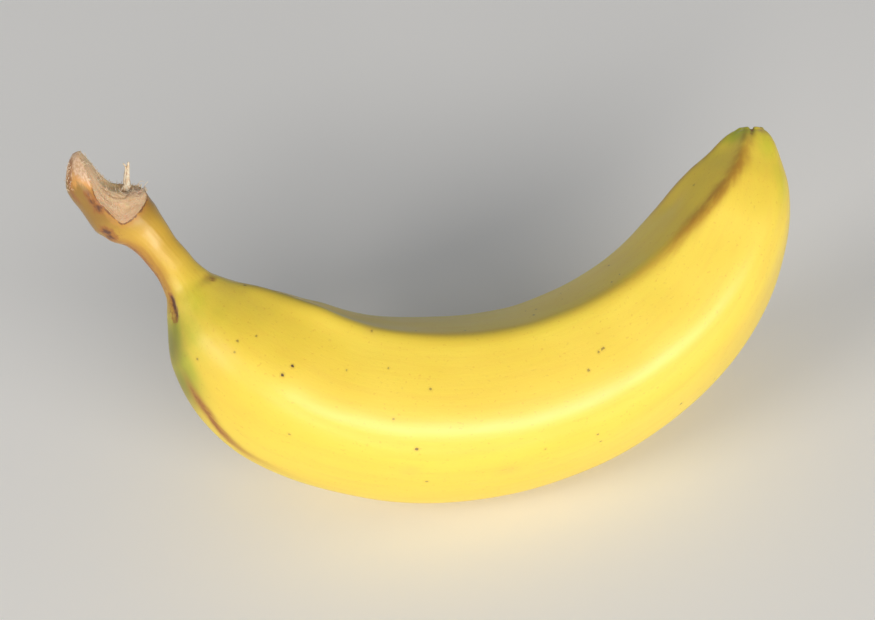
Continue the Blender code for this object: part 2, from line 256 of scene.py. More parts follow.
# Painted shade along the inner side beside the ridge's crest, where that side falls in shade
OLIVE_PAINTED_SHADE_LINES = (
    (((45, 14), (50.5, 22), (58.8, 30), (67.3, 29), (78, 20), (120, 16)), 3.4,
     ((43, 0.0), (49, 0.44), (60, 0.46), (70, 0.34), (85, 0.15), (120, 0.0))),
)
BROWN_AND_CLEFT_SHADE_PATCHES = (
    (12.1, 118, 1.3, 1, 0.85), (13.6, 119, 1.3, 1.3, 0.95), (15.3, 118, 1.3, 1.6, 1.1),
    (5.2, 141, 2.4, 1.3, 0.66), (7.8, 145, 2.2, 1.2, 0.72), (10.8, 150, 2, 1, 0.7),
    # The patch at 210.6 along and 76 round is painted shade in the tip's cleft; the others are brown scars
    (210.6, 76, 1.4, 0.5, 0.45), (20.3, 141, 1.5, 1.7, 1.1), (21.6, 149, 1.3, 1.8, 1.05),
    (40.2, 142, 1.6, 1.2, 0.62), (42.4, 139, 1.4, 1.3, 0.56), (41.2, 38, 0.8, 1.4, 0.48),
    (22.7, 157, 0.8, 1.3, 0.66), (20, 262, 1.2, 1.6, 0.8), (23.5, 300, 1, 1.2, 0.6),
    (39.5, 230, 1.6, 0.9, 0.7), (124, 232, 3, 0.9, 0.45), (90, 300, 1.6, 1.2, 0.4),
)
TAN_PATCHES = (
    (210.8, 122, 0.6, 0.8, 0.8), (116.2, 134.8, 2.2, 1.6, 0.22), (97.3, 129.9, 2, 1.8, 0.2),
    (83.5, 41.7, 2.4, 1.2, 0.25), (150, 300, 6, 1.6, 0.35), (76, 210, 4, 2, 0.3),
)

# The rind is torn bare above this distance along the stem, by degrees round
BARED = (
    (0, 2), (60, 10), (100, 12), (113, 9.2), (125, 8.2), (140, 8.8), (160, 6), (220, 4.4), (300, 5),
    (360, 2),
)
BARED_BLEND = 2.8

# Specks: distance along, degrees round, size and darkness; then the limits of these for stray ones
SPECKS = (
    (66.8, 88.2, 0.36, 1.0), (67.8, 79.9, 0.36, 1.0), (54.9, 86, 0.28, 0.58), (57.4, 74, 0.26, 0.5),
    (55.9, 94.1, 0.24, 0.42), (51.5, 123.9, 0.28, 0.5), (79.7, 69.2, 0.26, 0.42), (83.5, 41.7, 0.34, 0.48),
    (89.5, 62.5, 0.26, 0.42), (99.9, 73.7, 0.34, 0.58), (92.2, 94, 0.26, 0.5), (97.7, 111.8, 0.36, 0.8),
    (100.7, 140.3, 0.32, 0.5), (73.5, 123, 0.28, 0.45), (123.6, 122.3, 0.26, 0.35),
    (142.8, 72.2, 0.34, 0.62), (141.3, 73, 0.32, 0.58), (137.2, 80.9, 0.34, 0.55),
    (134.4, 125.8, 0.26, 0.55), (134.8, 134.8, 0.26, 0.5),
)
STRAY_SPECKS = 90
STRAY_LIMITS = ((45, 200), (150, 395), (0.14, 0.34), (0.25, 0.75))
SPECK_SPACING = 2.6
MARK_REACH = (0.95, 0.7)
MARK_STEP = 0.37
SPECK_SEED = 23

# Fibres of the torn end: places as distance along, inwards and sideways, then the radius at base and end
STANDING_FIBRES = (
    (((14.6, -0.8, -2.9), (12.8, 0.1, -3.4), (10.9, 1.1, -3.6), (9.3, 1.9, -3.6), (8.3, 2.4, -3.5)),
      0.74, 0.24),
    (((14, -1.2, -3), (12, -0.1, -3.6), (10.4, 0.8, -3.8), (9.1, 1.4, -3.8), (8.1, 1.2, -3.9)),
      0.58, 0.16),
    (((14.6, -1.4, -2.7), (13.9, -0.3, -2.9), (13.3, 0.6, -3.1)), 0.34, 0.2),
    (((15, -1.8, -2.4), (13.3, -1, -3.3), (12.2, -0.4, -3.7)), 0.42, 0.14),
    (((15.6, 1.8, -3), (14.4, 2.6, -3.2), (14, 3, -3.1)), 0.34, 0.08),
    (((16.6, 2.6, -1.8), (15.5, 3.3, -2), (15.1, 3.6, -2.2)), 0.3, 0.08),
)
LONG_HAIRS = (
    (((10, -5, -4), (8.4, -5.3, -4.4), (6.7, -5.3, -4.2), (4.5, -5.6, -3.8), (2.8, -5.6, -3.5)),
      0.13, 0.07),
    (((9.6, -4.6, -3.6), (5.5, -5.2, -4.4), (4, -5.6, -4.2)), 0.1, 0.04),
    (((12.6, -0.6, -2.6), (13.7, -1.8, -0.8), (14.9, -3, 0.8)), 0.2, 0.1),
    (((15, 1, -3), (13.8, 2.2, -3.4), (13.4, 3.2, -2.6), (13.9, 3.8, -2)), 0.12, 0.03),
    (((15.8, 2.6, -2.4), (14.6, 3.6, -2.8), (14.1, 4.6, -2.2)), 0.12, 0.03),
)

# Fuzz, slivers and tufts: how many, length, radius at root and end, and scatter of their ways and bends
FUZZ = (300, (0.4, 1.3), (0.042, 0.0168), 0.35, 0.175)
SLIVERS = (90, (0.3, 0.7), (0.07, 0.021), 0.5, 0.2)
TUFTS = (30, (0.3, 0.7), (0.07, 0.035), 0.7, 0.3)
FUZZ_INSET = 0.4
FUZZ_WITHIN = 10
FUZZ_WAYS = (1, 1, -1)
FUZZ_LEAN = 0.8
FUZZ_RISE = 0.45
FUZZ_CURL = 0.3
SLIVER_SUNK = 0.2
SLIVER_START = 4.5
SLIVER_SIDE = 0.5
LEFT_RIM_END = 9.5
TUFT_REACH = (4.2, 10)
TUFT_SIDES = (136, 158)
HAIR_SEED = 31
FIBRE_SIDES = 10
HAIR_SIDES = 5
RINGS_PER_SPAN = 6
TUBE_START = (0.31, 0.93, 0.2)
TUBE_WAVES = ((0.12, 3, 9), (0.1, 5, -14))

# Floor, light and camera
SKY = {"Color": (0.84, 0.91, 1.0, 1.0), "Strength": 0.22}
FLOOR_FINISH = {"Base Color": (0.92, 0.91, 0.9, 1.0), "Roughness": 0.9, "Specular IOR Level": 0.2}
FLOOR_SIZE = 6.0
LAMP_COLOUR = (1.0, 0.955, 0.88)

# Lamps: name, degrees round from the front and up, distance, width, height and power
LAMPS = (("key", 20.0, 21.5, 2.4, 3.2, 0.68, 58.0), ("fill", -62.0, 32.0, 1.8, 0.9, 0.9, 9.0))

CAMERA_AZIMUTH = -0.593
CAMERA_ELEVATION = 42.579
CAMERA_ROLL = -4.779
CAMERA_AIM = (-0.00983, 0.02106, 0.02447)
CAMERA_DISTANCE = 0.4026
CAMERA_LENS = 69.47
SENSOR_WIDTH = 36.0

# Noises: cells to a millimetre, or to a metre for the fibres, then detail, roughness and distortion
USUAL_ROUGHNESS = 0.55
PEEL_NOISE = {
    "broad": ((0.05, 0.05, 0.022), 2.0),
    "streaks": ((0.55, 0.55, 0.035), 4.0),
    "fine": ((2.4, 2.4, 0.9), 3.0),
    "freckles": ((1.5, 1.5, 1.1), 1.0),
    "split": ((2.2, 2.2, 0.5), 4.0, 0.65),
    "ragged": ((1.3, 1.3, 0.7), 4.0, 0.65),
    "shine": ((0.3, 0.3, 0.1), 4.0),
    "pores": ((3.2, 3.2, 1.5), 2.0),
    "lengthwise": ((1.5, 1.5, 0.1), 3.0),
}
FLESH_NOISE = {
    "streaks": ((0.45, 1.9, 0.45), 4.0, 0.6, 0.6),
    "fuzz": ((4.0, 4.0, 4.0), 3.0, 0.6),
    "broad": ((0.4, 0.4, 0.4), 3.0),
    "ragged": ((1.6, 1.6, 1.6), 3.0),
}
FIBRE_NOISE = {"flecks": ((1800.0, 1800.0, 500.0), 3.0), "stains": ((500.0, 500.0, 300.0), 2.0)}
MARK_NOISE = ((0.9, 0.9, 1.0), 1.0)

# Tints made uneven: tint, how a noise joins it, which noise, its range, and what that range becomes
PEEL_UNEVEN = (
    ("green", "MULTIPLY", "streaks", 0.15, 0.6, 0.65, 1.0),
    ("ridge", "MULTIPLY", "streaks", 0.2, 0.6, 0.55, 1.0),
    ("tan", "MULTIPLY", "fine", 0.3, 0.6, 0.5, 1.0),
    ("bared", "ADD", "split", 0.2, 0.8, -0.3, 0.3),
    ("rim", "ADD", "ragged", 0.2, 0.8, -0.45, 0.45),
    ("brown_and_cleft_shade", "ADD", "ragged", 0.2, 0.8, -0.28, 0.28),
    ("blossom", "ADD", "ragged", 0.2, 0.8, -0.12, 0.12),
)
FLESH_UNEVEN = (("rim", "ADD", "ragged", 0.2, 0.8, -0.35, 0.35),)
MARK_WOBBLE = (0.2, 0.8, -0.35, 0.35)

# Colours and the layers over them, lowest first: what each follows, its range, strength, colour and limit
PEEL_COLOUR = (0.9, 0.655, 0.046)
PEEL_LAYERS = (
    ("broad", 0.35, 0.65, 1.0, (0.93, 0.705, 0.062)),
    ("streaks", 0.4, 0.75, 0.3, (0.86, 0.56, 0.05)),
    ("fine", 0.55, 0.8, 0.14, (0.8, 0.52, 0.06)),
    ("freckles", 0.66, 0.76, 0.35, (0.74, 0.4, 0.02)),
    ("along", 46.0, 26.0, 0.8, (0.62, 0.335, 0.022)),
    ("along", 26.0, 17.0, 0.85, (0.28, 0.13, 0.002)),
    ("bared", -0.55, 0.1, 1.0, (0.72, 0.335, 0.06)),
    ("bared", 0.0, 1.1, 1.0, "raw"),
    ("green", 0.0, 1.0, 0.85, (0.53, 0.59, 0.01)),
    # Painted shade: dark olive where the neck, the tip's cleft and the inner side fall in shade
    ("olive_painted_shade", 0.0, 1.0, 0.9, (0.14, 0.118, 0.002)),
    ("ridge", 0.0, 0.9, 0.88, (0.43, 0.175, 0.004)),
    ("tan", 0.0, 0.0, 1.0, (0.58, 0.33, 0.1)),
    ("rim", 1.9, 0.2, 0.6, (0.58, 0.25, 0.035), "rind"),
    ("rim", 0.44, 0.1, 0.85, (0.17, 0.055, 0.016), "rind"),
    # Brown scars, and painted shade in the tip's cleft
    ("brown_and_cleft_shade", 0.12, 0.6, 0.8, (0.33, 0.105, 0.006)),
    ("brown_and_cleft_shade", 0.62, 1.1, 0.9, (0.085, 0.02, 0.006)),
    ("reach", 3.0, 0.9, 0.35, (0.55, 0.3, 0.03), "darkness"),
    ("dot", 0.0, 0.0, 1.0, (0.085, 0.034, 0.006)),
    ("blossom", 0.48, 0.66, 1.0, (0.42, 0.25, 0.08)),
    ("blossom", 0.7, 0.86, 1.0, (0.055, 0.026, 0.012)),
)
RAW_RANGE = (0.35, 0.65)
RAW_COLOURS = ((0.68, 0.4, 0.2), (0.9, 0.64, 0.44))
RIND_RANGE = (0.55, -0.1)
DOT_EDGE = (1.15, 0.65)
FLESH_COLOUR = (0.92, 0.56, 0.3)
FLESH_LAYERS = (
    ("streaks", 0.3, 0.7, 1.0, (1.0, 0.73, 0.46)),
    ("broad", 0.45, 0.7, 0.6, (0.92, 0.6, 0.33)),
    # Painted light: the shaded basin lightened to pale yellow, over its own yellowish tone
    ("basin_tone_and_painted_light", 0.0, 0.0, 1.0, (1.0, 0.8, 0.42)),
    ("lobe", 0.0, 0.0, 1.0, (0.72, 0.5, 0.4)),
    # Painted shade: darker along the crease of the fold
    ("fold_painted_shade", 0.5, 0.05, 0.75, (0.48, 0.26, 0.12)),
    ("fuzz", 0.48, 0.7, 0.5, (1.0, 0.82, 0.62)),
    ("fuzz", 0.42, 0.25, 0.22, (0.56, 0.28, 0.14)),
    ("rim", 0.3, 0.0, 0.5, (0.42, 0.17, 0.06)),
)
FIBRE_COLOUR = (0.78, 0.58, 0.38)
FIBRE_LAYERS = (
    ("flecks", 0.35, 0.65, 1.0, (0.94, 0.86, 0.68)),
    ("stains", 0.52, 0.68, 0.6, (0.6, 0.34, 0.22)),
)

# Roughness, bumps with their strength and depth in metres, and what is the same all over each finish
PEEL_ROUGHNESS = (0.25, 0.75, 0.5, 0.6)
DRY_RANGES = (("brown_and_cleft_shade", 0.2, 0.9), ("blossom", 0.5, 0.8), ("rim", 1.2, 0.1))
DRY_ROUGHNESS = 0.28
PEEL_RELIEF = (("pores", 0.35), ("lengthwise", 0.65), ("dot", -0.5))
PEEL_BUMP = (0.36, 0.00012)
FLESH_RELIEF = (("streaks", 0.7), ("fuzz", 0.4))
FLESH_BUMP = (0.5, 0.0002)
PEEL_FINISH = {
    "Metallic": 0.0,
    "Specular IOR Level": 0.75,
    "Subsurface Weight": 0.1,
    "Subsurface Radius": (1.0, 0.45, 0.08),
    "Subsurface Scale": 0.0025,
    "Coat Weight": 0.7,
    "Coat Roughness": 0.36,
}
FLESH_FINISH = {
    "Roughness": 0.85,
    "Specular IOR Level": 0.2,
    "Subsurface Weight": 0.4,
    "Subsurface Radius": (1.0, 0.6, 0.35),
    "Subsurface Scale": 0.003,
}
FIBRE_FINISH = {"Roughness": 0.7, "Specular IOR Level": 0.3}


def smooth_through(points, at):
    """A smooth curve through the points that never overshoots them, read at the given distances."""
    x, y = (np.array(column, float) for column in zip(*points))
    step = np.diff(x)
    slope = np.diff(y) / step
    same_way = slope[:-1] * slope[1:] > 0
    before, after = slope[:-1][same_way], slope[1:][same_way]
    share_before = (2 * step[1:] + step[:-1])[same_way]
    share_after = (step[1:] + 2 * step[:-1])[same_way]
    inside = np.zeros(len(same_way))
    inside[same_way] = (share_before + share_after) / (share_before / before + share_after / after)
    tangent = np.concatenate([slope[:1], inside, slope[-1:]])
    at = np.clip(at, x[0], x[-1])
    cell = np.clip(np.searchsorted(x, at, side="right") - 1, 0, len(step) - 1)
    t = (at - x[cell]) / step[cell]
    return (
        (1 + 2 * t) * (1 - t) ** 2 * y[cell]
        + t * (1 - t) ** 2 * step[cell] * tangent[cell]
        + t * t * (3 - 2 * t) * y[cell + 1]
        + t * t * (t - 1) * step[cell] * tangent[cell + 1]
    )


def middle_line():
    """The fruit's middle, step by step: distance, turn, heading, place along and place inwards."""
    fine = np.linspace(*BEND_REACH, BEND_STEPS)
    turn = smooth_through(BEND, fine) * MM
    step = np.diff(fine)

    def summed(rate):
        return np.concatenate([[0], np.cumsum((rate[1:] + rate[:-1]) / 2 * step)])

    heading = summed(turn)
    heading -= np.interp(MIDDLE, fine, heading) - math.radians(PITCH)
    along = summed(np.cos(heading))
    inward = summed(np.sin(heading))
    along -= np.interp(MIDDLE, fine, along)
    inward -= np.interp(MIDDLE, fine, inward)
    return fine, turn, heading, along, inward


LINE = middle_line()


def middle_at(distance):
    """Heading, place along and place inwards of the fruit's middle, in the plane of its bend."""
    return [np.interp(distance, LINE[0], values) for values in LINE[2:]]


def sway_at(distance):
    """How far the stem leans sideways."""
    return STEM_SWAY * np.clip(1 - distance / SWAY_END, 0, None) ** 2


def from_middle(distance, inwards, sideways):
    """Points given by distance along the middle, distance inwards of it and sideways, before the lean."""
    heading, along, inward = middle_at(distance)
    return joined(
        along - np.sin(heading) * inwards,
        inward + np.cos(heading) * inwards,
        sway_at(distance) + sideways,
    )


def section(angle, distance):
    """How far the skin lies from the section's centre, as a part of its mean radius."""
    turned = np.degrees(angle) - smooth_through(TWIST, distance)
    ridges = [(side + following) / 2 for side, following in zip(SIDES, SIDES[1:] + (SIDES[0] + 360,))]
    power = np.interp(turned, ridges, [crispness for crispness, _ in RIDGES], period=360)
    total = sum(np.maximum(np.cos(np.radians(turned - side)), 0) ** power for side in SIDES)
    corner = (2 * math.cos(math.pi / len(SIDES)) ** USUAL_CRISPNESS) ** (-1 / USUAL_CRISPNESS)
    five_sided = total ** (-1 / power) / ((1 + corner) / 2)
    shape = 1 + smooth_through(FLATNESS, distance) * (five_sided - 1)
    rise = smooth_through(CREST_RISE, distance)
    lobe = smooth_through(LOBES, distance)
    for ridge, (_, height) in zip(ridges, RIDGES):
        gap = turn_between(turned, ridge)
        shape = shape + rise * height * np.exp(-((gap / CREST_WIDTH) ** 2))
        shape = shape + lobe * np.exp(-((gap / LOBE_WIDTH) ** 2)) - lobe * LOBE_SHARE
    return shape


def joined(*coordinates):
    """Points from their coordinates."""
    return np.stack(np.broadcast_arrays(*coordinates), axis=-1)


def unit(way):
    return way / np.linalg.norm(way)


def turn_between(degrees, other):
    """How far round one is from the other, from -180 to 180 degrees."""
    return (degrees - other + 180) % 360 - 180


def tree_of(places):
    """A search tree for the nearest of the places."""
    tree = KDTree(len(places))
    for i, place in enumerate(places):
        tree.insert(place, i)
    tree.balance()
    return tree


def nearness(places, centre, reach):
    """1 at the centre, falling off over the given reach."""
    gap = (places - np.array(centre)) / np.array(reach)
    return np.exp(-(gap**2).sum(axis=-1))


def mean_radius(distance):
    return smooth_through([(d, r) for d, r, _ in OUTLINE], distance)


def offset_at(distance):
    return smooth_through([(d, o) for d, _, o in OUTLINE], distance)


def skin(distance, angle, part=1.0, raised=0.0, relief=0.0):
    """Points of the skin; angle 0 is the inside of the bend and a quarter turn is the near side."""
    reach = mean_radius(distance) * section(angle, distance) * part + relief
    inwards = offset_at(distance) + reach * np.cos(angle)
    return from_middle(distance + raised, inwards, reach * np.sin(angle))


def lean_matrix():
    """Leans the plane of the bend up from the floor, and turns it about the upright."""
    lean = math.radians(LEAN)
    turn = math.radians(TURN)
    tilted = np.array([[1, 0, 0], [0, math.cos(lean), -math.sin(lean)], [0, math.sin(lean), math.cos(lean)]])
    turned = np.array([[math.cos(turn), -math.sin(turn), 0], [math.sin(turn), math.cos(turn), 0], [0, 0, 1]])
    return turned @ tilted


LEANED = lean_matrix()


def resting_point():
    """The centre of the flat spot, on the floor, in the leaned frame."""
    distance = np.linspace(*BELLY, BELLY_ROWS)[:, None]
    angle = np.linspace(0, 2 * math.pi, BELLY_COLUMNS, endpoint=False)[None, :]
    points = skin(distance, angle).reshape(-1, 3) @ LEANED.T
    floor = points[:, 2].min() + FLAT_DEPTH
    return np.array([*points[points[:, 2] < floor, :2].mean(axis=0), floor])


REST = resting_point()


def placed(points):
    """Where the points lie, in metres, when the fruit rests with its flat spot at the origin."""
    return (points @ LEANED.T - REST) * MM


def straightened(points):
    """Distance along the middle, inwards and sideways of points of the resting fruit."""
    along, inward, sideways = np.moveaxis((points / MM + REST) @ LEANED, -1, 0)
    fine, rate, _, line_along, line_inward = LINE
    tree = tree_of(joined(line_along, line_inward, 0.0))
    distance = fine[[tree.find((a, b, 0))[1] for a, b in zip(along, inward)]]
    for _ in range(REFINEMENTS):
        heading, middle_along, middle_inward = middle_at(distance)
        gap_along = along - middle_along
        gap_inward = inward - middle_inward
        ahead = gap_along * np.cos(heading) + gap_inward * np.sin(heading)
        inwards = gap_inward * np.cos(heading) - gap_along * np.sin(heading)
        distance = distance + ahead / (1 - inwards * np.interp(distance, fine, rate))
    return distance, inwards, sideways - sway_at(distance)


def gap_to(angle, degrees, radius):
    """Distance round the section from an angle to the given degrees."""
    return np.radians(turn_between(np.degrees(angle), degrees)) * radius


def patch(distance, angle, radius, where):
    """A soft round patch on the skin."""
    middle, degrees, length, width, strength = where
    across = gap_to(angle, degrees, radius)
    return strength * np.exp(-(((distance - middle) / length) ** 2) - (across / width) ** 2)


def stripe(distance, angle, radius, places, width, strengths):
    """A soft line along the skin."""
    degrees = smooth_through(places, distance)
    strength = smooth_through(strengths, distance)
    inside = (distance >= strengths[0][0]) & (distance <= strengths[-1][0])
    return strength * inside * np.exp(-((gap_to(angle, degrees, radius) / width) ** 2))


def skin_relief(distance, angle):
    """Gentle lumps, flutes along the stem, bumps and the crack at the neck."""
    random = np.random.default_rng(RELIEF_SEED)
    radius = mean_radius(distance)
    share = np.clip(radius / np.max(radius), LUMP_LEAST, 1)
    lumps = 0
    for _ in range(LUMP_WAVES):
        around = random.integers(0, LUMP_TURNS)
        length = random.uniform(*LUMP_LENGTHS)
        phase, other = random.uniform(0, 2 * math.pi, 2)
        lumps = lumps + np.cos(around * angle + phase) * np.cos(2 * math.pi * distance / length + other)
    flutes = 0
    for waves in FLUTE_WAVES:
        phase, drift = random.uniform(0, 2 * math.pi, 2)
        wander = np.sin(2 * math.pi * distance / FLUTE_WANDER + drift)
        flutes = flutes + np.cos(waves * angle + phase + wander)
    relief = LUMP_HEIGHT * lumps * share + FLUTE_HEIGHT * flutes * smooth_through(FLUTE_FADE, distance)
    for where in BUMPS:
        relief = relief + patch(distance, angle, radius, where)
    for line in RELIEF_LINES:
        relief = relief + stripe(distance, angle, radius, *line)
    return relief


def strip(shape, lower, upper, closed):
    """Faces between two rows of corners. A closed strip joins its end to its start."""
    for j in range(len(lower) if closed else len(lower) - 1):
        k = (j + 1) % len(lower)
        shape.faces.new((lower[j], lower[k], upper[k], upper[j]))


def sheet(shape, points, closed=False):
    """A grid of faces over rows of points."""
    corners = [[shape.verts.new(point) for point in row] for row in points]
    for lower, upper in zip(corners, corners[1:]):
        strip(shape, lower, upper, closed)
    return corners


def fan(shape, ring, centre):
    """Closes a ring of corners with triangles about a centre."""
    tip = shape.verts.new(centre)
    for i, corner in enumerate(ring):
        shape.faces.new((corner, ring[(i + 1) % len(ring)], tip))


def new_object(name, data):
    """An object with the given data, put in the scene."""
    thing = bpy.data.objects.new(name, data)
    bpy.context.scene.collection.objects.link(thing)
    return thing


def new_piece(name, shape):
    """An object from a bmesh, with its faces turned outwards and shaded smooth."""
    bmesh.ops.recalc_face_normals(shape, faces=shape.faces)
    mesh = bpy.data.meshes.new(name)
    shape.to_mesh(mesh)
    shape.free()
    mesh.shade_smooth()
    return new_object(name, mesh)


def blossom_height(angle, part):
    """Height over the rim at the blossom end, with a notch between each two lobes."""
    height = smooth_through(BLOSSOM, part)
    for degrees, width, depth in NOTCHES:
        gap = turn_between(np.degrees(angle), degrees) / width
        height = height - depth * math.sin(math.pi * part**2) * np.exp(-(gap**2))
    return height


def make_whole_skin():
    """Body, stem and blossom end as one closed fine skin, pressed flat where it lies."""
    distance = [np.linspace(start, end, count, endpoint=False) for start, end, count in ROWS]
    distance = np.concatenate(distance + [[ROWS[-1][1]]])
    angle = np.linspace(0, 2 * math.pi, COLUMNS, endpoint=False)
    relief = skin_relief(distance[:, None], angle[None, :])
    points = skin(distance[:, None], angle[None, :], relief=relief)
    last = distance[-1]
    parts = np.linspace(1, 0, BLOSSOM_RINGS + 1)[1:-1]
    rings = [skin(last, angle, part, blossom_height(angle, part), relief[-1] * part) for part in parts]
    points = placed(np.concatenate([points, np.stack(rings)]))
    height = points[..., 2]
    points[..., 2] = (height + np.hypot(height, FLAT_SOFTNESS * MM)) / 2
    shape = bmesh.new()
    corners = sheet(shape, points, closed=True)
    fan(shape, corners[-1], placed(skin(last, angle, 0.0, BLOSSOM[0][1])[0]))
    fan(shape, corners[0], placed(skin(distance[:1], angle[:1], 0.0)[0]))
    return new_piece("banana_skin", shape)


def resampled(points, count):
    """Points evenly along a smooth line through the given ones."""
    points = np.array(points)
    length = np.concatenate([[0], np.cumsum(np.linalg.norm(np.diff(points, axis=0), axis=1))])
    at = np.linspace(0, length[-1], count)
    return joined(*(smooth_through(list(zip(length, column)), at) for column in points.T))


def broad_grooves():
    """Long shallow grooves that run along the torn face, uneven from one to the next."""
    random = np.random.default_rng(GROOVE_SEED)
    down = np.linspace(0, 1, TORN_ROWS)[:, None]
    across = np.linspace(0, 1, TORN_COLUMNS)[None, :]
    relief = 0
    for waves in GROOVE_WAVES:
        phase, drift, fading = random.uniform(0, 2 * math.pi, 3)
        wander = GROOVE_WANDER * np.sin(WANDER_TURN * down + drift)
        strength = 1 - FADE + FADE * np.sin(FADE_TURN * down + fading)
        relief = relief + strength * np.sin(2 * math.pi * waves * across + phase + wander)
    return GROOVE_HEIGHT * relief


def noise_at(places, size):
    """Smooth noise between about -1 and 1 at the places, with cells of the given size."""
    values = [noise.noise(Vector(place)) for place in (places / np.array(size)).reshape(-1, 3)]
    return np.array(values).reshape(places.shape[:-1])


def distance_to_path(points, path):
    """Distance of each point from a line through the given places."""
    path = np.array(path)
    nearest = np.full(points.shape[:-1], np.inf)
    for start, end in zip(path, path[1:]):
        along = end - start
        share = np.clip(((points - start) @ along) / (along @ along), 0, 1)
        nearest = np.minimum(nearest, np.linalg.norm(points - start - share[..., None] * along, axis=-1))
    return nearest


def fine_tears(places):
    """Fibrous streaks, grain, folds, a ragged lobe and swells, as a height."""
    away, inwards, sideways = np.moveaxis(places, -1, 0)
    down = (away - inwards) / math.sqrt(2)
    relief = GRAIN_HEIGHT * noise_at(places, GRAIN_SIZE)
    for strength, finer_along, finer_across, layer in STREAKS:
        at = joined(down * finer_along, sideways * finer_across, layer)
        relief = relief + STREAK_HEIGHT * strength * noise_at(at, (STREAK_LENGTH, STREAK_WIDTH, 1))
    reach = np.linalg.norm(places - np.array(FOLD_CENTRE), axis=-1)
    reach = reach + FOLD_WANDER * noise_at(places, FOLD_WANDER_SIZE)
    for ring in FOLD_RINGS:
        relief = relief + FOLD_HEIGHT * np.tanh((reach - ring) / FOLD_SOFTNESS)
    ragged = noise_at(places, RAGGED_SIZE)
    relief = relief + RAGGED_HEIGHT * nearness(places, RAGGED_LOBE, RAGGED_REACH) * ragged
    fold_painted_shade = distance_to_path(places, FOLD_PATH)
    relief = relief - FOLD_PATH_DEPTH * np.exp(-((fold_painted_shade / FOLD_PATH_WIDTH) ** 2))
    for centre, reach, height in SWELLS:
        relief = relief + height * nearness(places, centre, reach)
    return relief


def torn_face():
    """The torn face as distance along, inwards and sideways, over a grid that is wider than the stem."""
    near = resampled(NEAR_EDGE, TORN_ROWS)
    far = resampled(FAR_EDGE, TORN_ROWS)
    sideways = np.linspace(TORN_SPREAD, -TORN_SPREAD, TORN_COLUMNS)[None, :]
    share = (TORN_REACH - sideways[..., None]) / (2 * TORN_REACH)
    edge = near[:, None] + (far - near)[:, None] * share
    places = joined(edge[..., 0], edge[..., 1], sideways)
    relief = broad_grooves() + fine_tears(places)
    return places[..., 0] - relief, places[..., 1] + relief, places[..., 2]


def rim_of(corners):
    """The corners round the edge of a grid, in order."""
    rim = corners[0] + [row[-1] for row in corners[1:]]
    return rim + corners[-1][-2::-1] + [row[0] for row in corners[-2:0:-1]]


def make_torn_off_part():
    """The flesh torn away from the stem's end: a curved rough face, carried away from the stem."""
    face = from_middle(*torn_face())
    heading = middle_at(TORN_SQUARE)[0]
    outwards = np.array([-math.cos(heading), -math.sin(heading), 0])
    inner = np.array([-math.sin(heading), math.cos(heading), 0])
    lid = face + (outwards + inner) / math.sqrt(2) * TORN_DEPTH
    shape = bmesh.new()
    lower = sheet(shape, placed(face))
    upper = sheet(shape, placed(lid))
    strip(shape, rim_of(lower), rim_of(upper), True)
    return new_piece("torn_off", shape)


def cut_away(fruit, tool):
    """Cuts the tool out of the fruit, for good."""
    step = fruit.modifiers.new(tool.name, "BOOLEAN")
    step.operation = "DIFFERENCE"
    step.solver = "EXACT"
    step.material_mode = "TRANSFER"
    step.object = tool
    graph = bpy.context.evaluated_depsgraph_get()
    cut = bpy.data.meshes.new_from_object(fruit.evaluated_get(graph))
    fruit.modifiers.clear()
    fruit.data = cut
    bpy.data.objects.remove(tool)


def keep_one_body(fruit):
    """Keeps the body that lies on the floor, and drops loose scraps that the cut leaves."""
    shape = bmesh.new()
    shape.from_mesh(fruit.data)
    front = {min(shape.verts, key=lambda corner: corner.co.z)}
    body = set(front)
    while front:
        front = {edge.other_vert(corner) for corner in front for edge in corner.link_edges} - body
        body |= front
    scraps = [corner for corner in shape.verts if corner not in body]
    bmesh.ops.delete(shape, geom=scraps, context="VERTS")
    shape.to_mesh(fruit.data)
    shape.free()


def write_attribute(mesh, name, values):
    """Stores one number or one vector for each corner point of the mesh."""
    kind, field = ("FLOAT", "value") if values.ndim == 1 else ("FLOAT_VECTOR", "vector")
    layer = mesh.attributes.new(name, kind, "POINT")
    layer.data.foreach_set(field, values.astype(np.float32).ravel())


def rim_corners(mesh):
    """The corner points on the edge where the torn face meets the peel."""
    sides = [set() for _ in mesh.vertices]
    for face in mesh.polygons:
        for corner in face.vertices:
            sides[corner].add(face.material_index)
    return [i for i, kinds in enumerate(sides) if len(kinds) > 1]


def rim_distance(mesh, points):
    """Distance of each point from the edge where the torn face meets the peel."""
    tree = tree_of(points[rim_corners(mesh)])
    return np.array([tree.find(point)[2] for point in points]) / MM


def all_specks():
    """The specks that show, and stray small ones on the other sides."""
    random = np.random.default_rng(SPECK_SEED)
    kept = list(SPECKS)
    for _ in range(STRAY_SPECKS):
        distance, degrees, size, darkness = (random.uniform(*limits) for limits in STRAY_LIMITS)
        radius = mean_radius(distance)
        gaps = [math.hypot(d - distance, gap_to(math.radians(a), degrees, radius)) for d, a, _, _ in kept]
        if min(gaps) > SPECK_SPACING:
            kept.append((distance, degrees, size, darkness))
    return np.array(kept)


def write_marks(mesh, points, distance, angle, radius):
    """Each point's offset from the nearest speck, in speck sizes, and that speck's darkness."""
    specks = all_specks()
    tree = tree_of(placed(skin(specks[:, 0], np.radians(specks[:, 1]))))
    nearest = np.array([tree.find(point)[1] for point in points])
    middle, degrees, size, darkness = specks[nearest].T
    along = distance - middle
    across = gap_to(angle, degrees, radius)
    write_attribute(mesh, "mark", joined(along / size, across / size, nearest * MARK_STEP))
    write_attribute(mesh, "mark_gap", np.hypot(along, across))
    write_attribute(mesh, "mark_darkness", darkness)


def points_of(mesh):
    points = np.zeros(len(mesh.vertices) * 3, np.float32)
    mesh.vertices.foreach_get("co", points)
    return points.reshape(-1, 3).astype(float)


